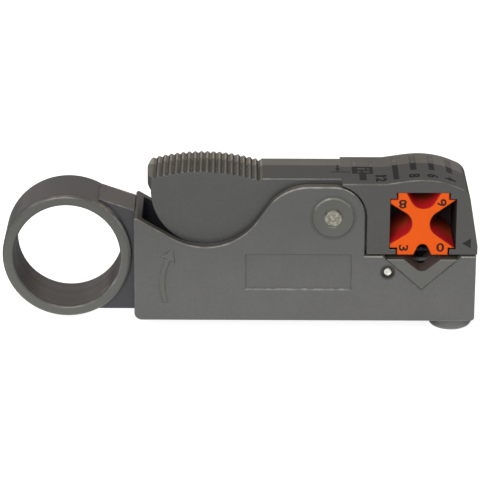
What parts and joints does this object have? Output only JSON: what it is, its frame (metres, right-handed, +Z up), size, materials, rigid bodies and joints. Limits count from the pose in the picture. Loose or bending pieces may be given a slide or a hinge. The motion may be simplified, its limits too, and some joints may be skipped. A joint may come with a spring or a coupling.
{
  "type": "coaxial cable stripper",
  "caption": "Hand tool that spins round a coaxial cable: finger ring, ribbed thumb lever with jaw, turning V-block cassette, blade cartridge and stored hex key.",
  "frame": {"origin": "centre of the footprint, on the plane of the lowest piece, the knob of the stored key", "axes": "+X from the finger ring to the jaws, +Y from the front face to the back, +Z up from the body's underside to the thumb lever"},
  "size_m": [0.1006, 0.0194, 0.037],
  "materials": {
    "grey_plastic": "moulded matt, slightly glossy on its edges",
    "light_grey_plastic": "moulded matt",
    "orange_plastic": "moulded satin",
    "bright_steel": "peened bright ends",
    "blade_steel": "ground",
    "black_steel": "black oxide",
    "spring_steel": "drawn wire"
  },
  "bodies": {
    "housing": {"body": "grey_plastic", "pivot_pin": "bright_steel", "blade_cartridge": "light_grey_plastic", "core_blade": "blade_steel", "braid_blade": "blade_steel", "jacket_blade": "blade_steel", "core_screw": "black_steel", "braid_screw": "black_steel", "jacket_screw": "black_steel", "cross_pin": "bright_steel", "return_spring": "spring_steel"},
    "lever": {"thumb_lever": "grey_plastic"},
    "cassette": {"v_block_cassette": "orange_plastic"},
    "key": {"hex_key": "black_steel", "key_knob": "grey_plastic"}
  },
  "joints": [
    {"name": "lever_hinge", "type": "hinge", "parent": "housing", "child": "lever", "pos_m": [0.0197, 0, 0.0275], "axis": [0, -1, 0], "range_deg": [0, 15], "stiffness_Nm_per_rad": 0.3, "springref_deg": -20.05, "deforming": ["return_spring"]},
    {"name": "cassette_slide", "type": "slide", "parent": "lever", "child": "cassette", "axis": [0, -1, 0], "range_m": [0, 0.018]},
    {"name": "key_slide", "type": "slide", "parent": "housing", "child": "key", "axis": [0, 0, -1], "range_m": [0, 0.012]}
  ]
}
